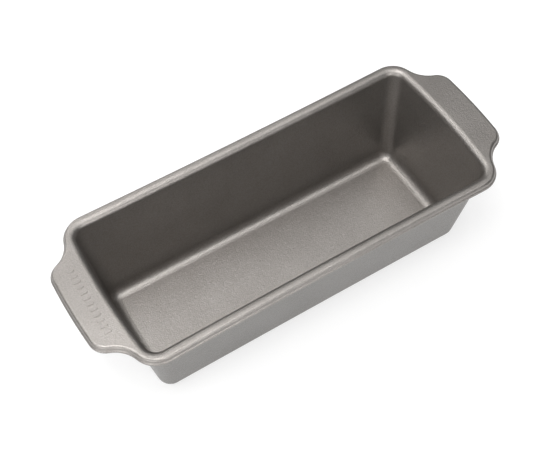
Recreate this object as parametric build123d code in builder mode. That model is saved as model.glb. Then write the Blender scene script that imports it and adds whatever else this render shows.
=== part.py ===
from build123d import *
import math
import os

# A one-piece pressed steel loaf pan with a grip tab at each end and a rolled
# rim closed around a steel wire. Millimetres, +Z up. X runs along the length,
# Y across the width. The origin is the centre of the flat underside.

# ---- sheet and body -------------------------------------------------------
sheet = 0.7  # steel gauge, the same everywhere
height = 76.0  # top of the flange above the table
mouth_half_length = 127.0  # cavity at flange height, measured mid-end
mouth_half_width = 52.1  # cavity at flange height, at the ends of a side wall
draft = 8.5  # lean of all four walls from vertical, degrees
wall_corner = 8.5  # inside radius of the four upright corners
end_bow = 480.0  # plan radius of the slightly domed end walls
mouth_pinch = 0.95  # how far the middle of a long side is drawn in, at the top
floor_pinch = 0.2  # and at the floor
floor_radius = 7.5  # inside radius where the walls meet the floor
lip_radius = 4.5  # top-side radius where the walls turn out into the flange

# ---- rim line: centre of the roll seen from above, one quarter ------------
roll_half_width = 58.7  # roll centre at the ends of a long side
side_half_length = 115.7  # where a long side meets the pan corner
corner_radius = 15.7  # pan corner
corner_sweep = 73.0  # degrees turned round the pan corner
waist_radius = 21.1  # hollow between the pan corner and the grip tab
waist_sweep = 51.5  # degrees turned back through that hollow
ear_radius = 10.7  # corner of the grip tab
grip_half_angle = 3.5  # half of the shallow arc across the tab, degrees

# ---- rim section ----------------------------------------------------------
# From the flange outwards: a shoulder, a short steep web, a shallow hollow and
# the roll, which curls down and back in under the flange.
roll_radius = 1.5  # outside of the roll
hollow_radius = 1.0  # of the hollow between the web and the roll
shoulder_radius = 2.0  # outside radius where the flange turns down
web_length = 0.5
web_lean = 78.0  # slope of the web below horizontal, degrees
crest_lean = 38.0  # slope where the hollow ends and the roll begins, degrees
curl_sweep = 282.0  # degrees the edge curls round the wire
wire_radius = 0.7  # steel wire inside the roll, 0.1 clear all round
wire_gap = 0.5  # butt gap between the two ends of the wire
wire_cut = 3.0  # width and height of the cut that makes that gap

# ---- plain pressed ribs on one tab ----------------------------------------
rib_count = 12
rib_pitch = 4.5
rib_length = 4.7
rib_width = 1.6
rib_rise = 0.35  # height of a rib above the flange, and depth of its hollow below
rib_edge = 0.25  # rounding along the top of a rib
rib_row_x = -138.6

run_in = math.tan(math.radians(draft))  # cavity narrowing per millimetre of depth
wall_run = sheet / math.cos(math.radians(draft))  # sheet thickness measured level
roll_inner = roll_radius - sheet
web_out = Vector(0, 1).rotate(Axis.Z, -web_lean)  # square to the web
crest_out = Vector(0, 1).rotate(Axis.Z, -crest_lean)  # square to the skin at the crest
hollow_centre = crest_out * (roll_radius + hollow_radius)  # from the roll centre
web_foot = hollow_centre - web_out * hollow_radius
web_head = web_foot + web_out.rotate(Axis.Z, 90) * web_length
shoulder_centre = web_head - web_out * shoulder_radius
roll_drop = shoulder_centre.Y + shoulder_radius  # roll centre below the flange top
roll_z = height - roll_drop
flat_inset = -shoulder_centre.X  # from the roll centre in to the flat flange
ear_sweep = 90.0 - grip_half_angle - corner_sweep + waist_sweep
side_radius = (side_half_length**2 + mouth_pinch**2) / (2 * mouth_pinch)
side_sweep = math.degrees(math.asin(side_half_length / side_radius))
right, left = -1, 1  # which way a stretch of rim turns


def wall_outline(level, skin, corner):
    """Plan of the walls at one height: pinched sides, domed ends, round corners."""
    shrink = (height - level) * run_in
    half_length = mouth_half_length + skin - shrink
    half_width = mouth_half_width + skin - shrink
    mid_width = half_width - floor_pinch - (mouth_pinch - floor_pinch) * level / height
    end_x = half_length - end_bow + math.sqrt(end_bow**2 - half_width**2)
    with BuildSketch(Plane.XY.offset(level)) as outline:
        with BuildLine():
            ThreePointArc((-end_x, half_width), (0, mid_width), (end_x, half_width))
            ThreePointArc((end_x, half_width), (half_length, 0), (end_x, -half_width))
            ThreePointArc((end_x, -half_width), (0, -mid_width), (-end_x, -half_width))
            ThreePointArc((-end_x, -half_width), (-half_length, 0), (-end_x, half_width))
        make_face()
        fillet(outline.vertices(), corner)
    return outline.sketch


def rim_quarter(inset):
    """The rim line from mid-side round to mid-grip, moved inwards by inset."""
    mid_side = (0, roll_half_width - mouth_pinch - inset)
    with BuildLine():
        side = JernArc(mid_side, (1, 0), side_radius + inset, side_sweep)
        corner = JernArc(side @ 1, side % 1, corner_radius - inset, -corner_sweep - side_sweep)
        waist = JernArc(corner @ 1, corner % 1, waist_radius + inset, waist_sweep)
        ear = JernArc(waist @ 1, waist % 1, ear_radius - inset, -ear_sweep)
        grip_radius = (ear @ 1).Y / math.sin(math.radians(grip_half_angle))
        grip = JernArc(ear @ 1, ear % 1, grip_radius, -grip_half_angle)
    return side, corner, waist, ear, grip


def flange_outline(inset):
    """Plan of the whole flange with both grip tabs."""
    with BuildSketch(Plane.XY.offset(height - sheet)) as outline:
        with BuildLine():
            add(rim_quarter(inset))
            mirror(about=Plane.YZ)
            mirror(about=Plane.XZ)
        make_face()
    return outline.sketch


def rolled_section(plane):
    """Shoulder, web, hollow and curl in one sheet, drawn about the centre of the roll."""
    web_start = 90 - web_lean
    crest_start = 90 - crest_lean
    hollow_start = 180 + web_start
    hollow_sweep = web_lean - crest_lean
    web_skin = web_out * sheet
    curl_end = Vector(1, 0).rotate(Axis.Z, crest_start - curl_sweep)
    with BuildSketch(plane) as section:
        with BuildLine():
            Line((-flat_inset, roll_drop - sheet), (-flat_inset, roll_drop))
            CenterArc(shoulder_centre, shoulder_radius, web_start, web_lean)
            Line(web_head, web_foot)
            CenterArc(hollow_centre, hollow_radius, hollow_start, hollow_sweep)
            CenterArc((0, 0), roll_radius, crest_start, -curl_sweep)
            Line(curl_end * roll_radius, curl_end * roll_inner)
            CenterArc((0, 0), roll_inner, crest_start, -curl_sweep)
            CenterArc(hollow_centre, hollow_radius + sheet, hollow_start, hollow_sweep)
            Line(web_foot - web_skin, web_head - web_skin)
            CenterArc(shoulder_centre, shoulder_radius - sheet, web_start, web_lean)
        make_face()
    return section.sketch


def wire_section(plane):
    """Round wire at the centre of the roll."""
    with BuildSketch(plane) as section:
        Circle(wire_radius)
    return section.sketch


def rim_stretch(section, stretch, turn):
    """Carry a section round one arc of the rim line."""
    heading = stretch % 0
    outward = Vector(-heading.Y, heading.X, 0)
    start = (stretch @ 0) + Vector(0, 0, roll_z)
    profile = section(Plane(origin=start, x_dir=outward, z_dir=heading))
    turned = math.degrees(stretch.length / stretch.radius)
    pivot = Axis(stretch.arc_center, (0, 0, turn))
    revolve(profile, axis=pivot, revolution_arc=turned)


def rim_loop(section):
    """The whole rim: one quarter stretch by stretch, then both mirror copies."""
    for stretch, turn in zip(rim_quarter(0), (left, right, left, right, right)):
        rim_stretch(section, stretch, turn)
    mirror(about=Plane.YZ)
    mirror(about=Plane.XZ)


# ---- rolled edge, before it is joined to the flange -----------------------
with BuildPart() as rolled_edge:
    rim_loop(rolled_section)

# ---- cavity: the hollow the loaf sits in ----------------------------------
with BuildPart() as cavity:
    cavity_floor = wall_outline(sheet, 0, wall_corner)
    cavity_mouth = wall_outline(height, 0, wall_corner)
    loft([cavity_floor, cavity_mouth], ruled=True)
    fillet(cavity.faces().sort_by(Axis.Z)[0].edges(), floor_radius)

# ---- pan shell: floor, walls, flange, grip tabs and rolled edge -----------
with BuildPart() as pan_shell:
    # tapered block, one sheet thickness larger than the cavity all round
    block_floor = wall_outline(0, wall_run, wall_corner + sheet)
    block_top = wall_outline(height - sheet, wall_run, wall_corner + sheet)
    loft([block_floor, block_top], ruled=True)
    fillet(pan_shell.faces().sort_by(Axis.Z)[0].edges(), floor_radius + sheet)

    # flat flange with its tabs, blended into the walls from below
    extrude(flange_outline(flat_inset), amount=sheet)
    flange_underside = pan_shell.faces().filter_by(Axis.Z).sort_by(Axis.Z)[-2]
    fillet(flange_underside.inner_wires()[0].edges(), lip_radius - sheet)

    # hollow it out and round the lip of the mouth
    add(cavity.part, mode=Mode.SUBTRACT)
    flange_top = pan_shell.faces().sort_by(Axis.Z)[-1]
    fillet(flange_top.inner_wires()[0].edges(), lip_radius)

    # turned-down and rolled edge
    add(rolled_edge.part)

    # the left end is the mirror image of the right end
    split(bisect_by=Plane.YZ)
    mirror(about=Plane.YZ)

    # ribs pressed up from below on the left tab
    with BuildSketch(Plane.XY.offset(height)):
        with Locations((rib_row_x, 0)):
            with GridLocations(0, rib_pitch, 1, rib_count):
                SlotOverall(rib_length, rib_width)
    extrude(amount=rib_rise)
    rib_tops = pan_shell.faces().filter_by(Axis.Z).sort_by(Axis.Z)[-rib_count:]
    fillet(rib_tops.edges(), rib_edge)
    with BuildSketch(Plane.XY.offset(height - sheet)):
        with Locations((rib_row_x, 0)):
            with GridLocations(0, rib_pitch, 1, rib_count):
                SlotOverall(rib_length - sheet, rib_width - sheet)
    extrude(amount=rib_rise, mode=Mode.SUBTRACT)

# ---- rim wire: one bent wire, its ends butting at the middle of a side ----
with BuildPart() as rim_wire:
    rim_loop(wire_section)
    with Locations((0, roll_half_width - mouth_pinch, roll_z)):
        Box(wire_gap, wire_cut, wire_cut, mode=Mode.SUBTRACT)

pan_shell.part.label = "pan_shell"
rim_wire.part.label = "rim_wire"

os.makedirs("parts", exist_ok=True)
export_step(pan_shell.part, "parts/pan_shell.step")
export_step(rim_wire.part, "parts/rim_wire.step")
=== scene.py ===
import math

import bpy
from mathutils import Matrix, Vector


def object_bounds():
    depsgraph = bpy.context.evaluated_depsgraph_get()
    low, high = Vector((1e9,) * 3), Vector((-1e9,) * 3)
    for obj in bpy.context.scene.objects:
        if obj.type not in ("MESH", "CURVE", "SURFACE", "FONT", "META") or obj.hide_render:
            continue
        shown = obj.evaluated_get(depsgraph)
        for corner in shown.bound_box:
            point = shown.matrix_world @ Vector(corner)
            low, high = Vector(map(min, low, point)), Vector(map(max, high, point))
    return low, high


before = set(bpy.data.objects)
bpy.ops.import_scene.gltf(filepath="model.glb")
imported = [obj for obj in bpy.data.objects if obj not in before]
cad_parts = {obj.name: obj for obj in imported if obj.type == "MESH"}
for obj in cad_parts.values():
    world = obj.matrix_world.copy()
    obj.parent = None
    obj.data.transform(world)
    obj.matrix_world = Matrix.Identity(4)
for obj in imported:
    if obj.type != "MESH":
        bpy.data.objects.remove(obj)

cad_low, cad_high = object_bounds()
centre = (cad_low + cad_high) / 2

# ---------------------------------------------------------------- camera
SENSOR_WIDTH = 36.0  # millimetres
CAMERA_LENS = 78.24  # millimetres
CAMERA_AZIMUTH = -31.255  # degrees, 0 looks along +Y
CAMERA_ELEVATION = 56.088  # degrees above the floor
CAMERA_ROLL = -0.879  # degrees
CAMERA_DISTANCE = 0.7991  # metres from the target
CAMERA_TARGET = Vector((-0.00017, 0.0105, 0.03519))
CLIP_NEAR = 0.01
CLIP_FAR = 20.0


def direction(azimuth, elevation):
    """Unit vector from the object towards a point at this azimuth and elevation."""
    a = math.radians(azimuth)
    e = math.radians(elevation)
    return Vector((math.sin(a) * math.cos(e), -math.cos(a) * math.cos(e), math.sin(e)))


def facing(position, target, roll=0.0):
    """World matrix of an object at position whose -Z axis points at target."""
    back = (position - target).normalized()
    right = Vector((0.0, 0.0, 1.0)).cross(back).normalized()
    up = back.cross(right)
    turn = math.radians(roll)
    x_axis = right * math.cos(turn) + up * math.sin(turn)
    y_axis = up * math.cos(turn) - right * math.sin(turn)
    matrix = Matrix((x_axis, y_axis, back)).transposed().to_4x4()
    matrix.translation = position
    return matrix


def make_camera():
    data = bpy.data.cameras.new("camera")
    data.sensor_width = SENSOR_WIDTH
    data.lens = CAMERA_LENS
    data.clip_start = CLIP_NEAR
    data.clip_end = CLIP_FAR
    camera = bpy.data.objects.new("camera", data)
    bpy.context.scene.collection.objects.link(camera)
    away = direction(CAMERA_AZIMUTH, CAMERA_ELEVATION)
    position = CAMERA_TARGET + away * CAMERA_DISTANCE
    camera.matrix_world = facing(position, CAMERA_TARGET, CAMERA_ROLL)
    bpy.context.scene.camera = camera


make_camera()


# ---------------------------------------------------------------- materials
# noise scales, in features per metre
PEBBLE = 1300.0
SPECKLE = 1000.0
ORANGE_PEEL = 500.0
DRAWN_STEEL = 500.0
CLOUD = 22.0

# coating colours, darkest and lightest of the clouding; the outside pair is a slightly cooler
# grey and, as painted shade, darker than the inside
INSIDE_COAT = (0.284, 0.266, 0.250), (0.312, 0.293, 0.276)
OUTSIDE_COAT_AND_SHADE = (0.212, 0.203, 0.193), (0.234, 0.224, 0.215)
SPECKLE_SHADE = (0.84, 0.84, 0.84), (1.0, 1.0, 1.0)
WIRE_STEEL = (0.50, 0.50, 0.51), (0.60, 0.60, 0.61)

# height of a surface normal at which a face starts and ends turning from outside to inside,
# where the painted shade of the outside fades out
LOOKS_DOWN = -0.12
LOOKS_UP = 0.06


def new_material(name):
    material = bpy.data.materials.new(name)
    material.use_nodes = True
    tree = material.node_tree
    shader = tree.nodes["Principled BSDF"]
    return material, tree, shader


def noise(tree, vector, scale, detail=2.0, roughness=0.5):
    node = tree.nodes.new("ShaderNodeTexNoise")
    node.inputs["Scale"].default_value = scale
    node.inputs["Detail"].default_value = detail
    node.inputs["Roughness"].default_value = roughness
    tree.links.new(vector, node.inputs["Vector"])
    return node.outputs["Fac"]


def remap(tree, value, low, high, from_low=0.3, from_high=0.7):
    node = tree.nodes.new("ShaderNodeMapRange")
    node.inputs["From Min"].default_value = from_low
    node.inputs["From Max"].default_value = from_high
    node.inputs["To Min"].default_value = low
    node.inputs["To Max"].default_value = high
    tree.links.new(value, node.inputs["Value"])
    return node.outputs["Result"]


def ramp(tree, value, colours, start, end):
    """Blend from the first colour at start to the second at end."""
    node = tree.nodes.new("ShaderNodeValToRGB")
    elements = node.color_ramp.elements
    for element, position, colour in zip(elements, (start, end), colours):
        element.position = position
        element.color = (*colour, 1.0)
    tree.links.new(value, node.inputs["Fac"])
    return node.outputs["Color"]


def mix(tree, first, second, factor=None, blend="MIX"):
    """Two colours combined; without a factor the blend acts in full."""
    node = tree.nodes.new("ShaderNodeMixRGB")
    node.blend_type = blend
    node.inputs["Fac"].default_value = 1.0
    if factor is not None:
        tree.links.new(factor, node.inputs["Fac"])
    tree.links.new(first, node.inputs["Color1"])
    tree.links.new(second, node.inputs["Color2"])
    return node.outputs["Color"]


def bump(tree, height, distance, strength, normal=None):
    node = tree.nodes.new("ShaderNodeBump")
    node.inputs["Distance"].default_value = distance
    node.inputs["Strength"].default_value = strength
    tree.links.new(height, node.inputs["Height"])
    if normal is not None:
        tree.links.new(normal, node.inputs["Normal"])
    return node.outputs["Normal"]


def coated_steel():
    """Warm grey non-stick coating: fine pebble, soft cloudiness and a satin sheen.

    The faces that look down, which are the outside of the pan, are a little
    darker than the faces that look up: the outside coating is a slightly cooler
    grey, and its extra darkness is painted shade.
    """
    material, tree, shader = new_material("nonstick_coating")
    place = tree.nodes.new("ShaderNodeTexCoord").outputs["Object"]
    pebble = noise(tree, place, PEBBLE, 2.0, 0.6)
    orange_peel = noise(tree, place, ORANGE_PEEL, 2.0, 0.6)
    cloud = noise(tree, place, CLOUD, 3.0, 0.55)
    grain = noise(tree, place, SPECKLE, 1.0, 0.5)

    inside = ramp(tree, cloud, INSIDE_COAT, 0.35, 0.65)
    outside_coat_and_shade = ramp(tree, cloud, OUTSIDE_COAT_AND_SHADE, 0.35, 0.65)
    normal = tree.nodes.new("ShaderNodeNewGeometry").outputs["Normal"]
    split = tree.nodes.new("ShaderNodeSeparateXYZ")
    tree.links.new(normal, split.inputs["Vector"])
    looks_up = remap(tree, split.outputs["Z"], 0.0, 1.0, LOOKS_DOWN, LOOKS_UP)
    # painted shade: faces that look down get the darker outside colours
    coat = mix(tree, outside_coat_and_shade, inside, looks_up)
    speckle = ramp(tree, grain, SPECKLE_SHADE, 0.30, 0.70)
    tree.links.new(mix(tree, coat, speckle, blend="MULTIPLY"), shader.inputs["Base Color"])

    tree.links.new(remap(tree, pebble, 0.30, 0.42), shader.inputs["Roughness"])
    coarse = bump(tree, orange_peel, 0.0003, 0.3)
    tree.links.new(bump(tree, pebble, 0.0003, 0.55, coarse), shader.inputs["Normal"])
    shader.inputs["Metallic"].default_value = 0.9
    shader.inputs["IOR"].default_value = 1.5
    return material


def wire_steel():
    """Bright drawn steel wire, seen only from below inside the rolled rim."""
    material, tree, shader = new_material("rim_wire_steel")
    place = tree.nodes.new("ShaderNodeTexCoord").outputs["Object"]
    drawn = noise(tree, place, DRAWN_STEEL)
    tint = ramp(tree, drawn, WIRE_STEEL, 0.3, 0.7)
    tree.links.new(tint, shader.inputs["Base Color"])
    tree.links.new(remap(tree, drawn, 0.25, 0.4), shader.inputs["Roughness"])
    tree.links.new(bump(tree, drawn, 0.0001, 0.3), shader.inputs["Normal"])
    shader.inputs["Metallic"].default_value = 1.0
    return material


def repaint(node, material):
    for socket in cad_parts[node].material_slots:
        socket.material = material


repaint("pan_shell", coated_steel())
repaint("rim_wire", wire_steel())


# ---------------------------------------------------------------- studio
FLOOR_HALF = 6.0  # metres
FLOOR_GAP = 0.0002  # below the underside, so that the two faces never coincide
FLOOR_SHADE = 0.40  # grey of the floor
FLOOR_GLOW = 0.62  # light of its own, 1 is white
SURROUND = 0.13  # even light from all sides, 1 is white
SOFTBOX_DISTANCE = 1.3  # metres from the middle of the pan

# name, azimuth and elevation in degrees, width and height in metres, power in watts
SOFTBOXES = [
    ("left_top_back", 225.0, 74.0, 0.40, 0.40, 5.5),
    ("left_top_front", 315.0, 74.0, 0.40, 0.40, 4.5),
    ("left_high", 270.0, 48.0, 0.70, 0.40, 4.0),
    ("left_low", 305.0, 15.0, 1.00, 0.40, 6.0),
    ("front", 0.0, 26.0, 0.75, 0.50, 5.0),
    ("front_high", 345.0, 52.0, 0.70, 0.40, 1.6),
    ("back", 200.0, 34.0, 1.20, 0.45, 6.0),
    ("back_high", 160.0, 60.0, 0.60, 0.40, 1.6),
    ("right_top", 45.0, 70.0, 0.45, 0.45, 3.0),
    ("right_high", 110.0, 60.0, 0.60, 0.45, 1.3),
]


def make_floor():
    size = FLOOR_HALF
    corners = [(-size, -size), (size, -size), (size, size), (-size, size)]
    mesh = bpy.data.meshes.new("floor")
    level = cad_low.z - FLOOR_GAP
    mesh.from_pydata([(x, y, level) for x, y in corners], [], [(0, 1, 2, 3)])
    floor = bpy.data.objects.new("floor", mesh)
    bpy.context.scene.collection.objects.link(floor)
    material, _, shader = new_material("floor_white")
    shader.inputs["Base Color"].default_value = (FLOOR_SHADE, FLOOR_SHADE, FLOOR_SHADE, 1.0)
    shader.inputs["Roughness"].default_value = 0.9
    shader.inputs["Specular IOR Level"].default_value = 0.2
    shader.inputs["Emission Color"].default_value = (1.0, 1.0, 1.0, 1.0)
    shader.inputs["Emission Strength"].default_value = FLOOR_GLOW
    mesh.materials.append(material)


def softbox(name, azimuth, elevation, width, height, power):
    """Rectangular light aimed at the middle of the pan."""
    data = bpy.data.lights.new(name, "AREA")
    data.shape = "RECTANGLE"
    data.size = width
    data.size_y = height
    data.energy = power
    lamp = bpy.data.objects.new(name, data)
    bpy.context.scene.collection.objects.link(lamp)
    target = Vector((0.0, 0.0, centre.z))
    lamp.matrix_world = facing(target + direction(azimuth, elevation) * SOFTBOX_DISTANCE, target)


def make_world(strength):
    world = bpy.data.worlds.new("studio")
    world.use_nodes = True
    background = world.node_tree.nodes["Background"]
    background.inputs["Color"].default_value = (1.0, 1.0, 1.0, 1.0)
    background.inputs["Strength"].default_value = strength
    bpy.context.scene.world = world


make_floor()
make_world(SURROUND)
for row in SOFTBOXES:
    softbox(*row)

bpy.context.scene.view_settings.view_transform = "Standard"
bpy.context.scene.view_settings.look = "None"
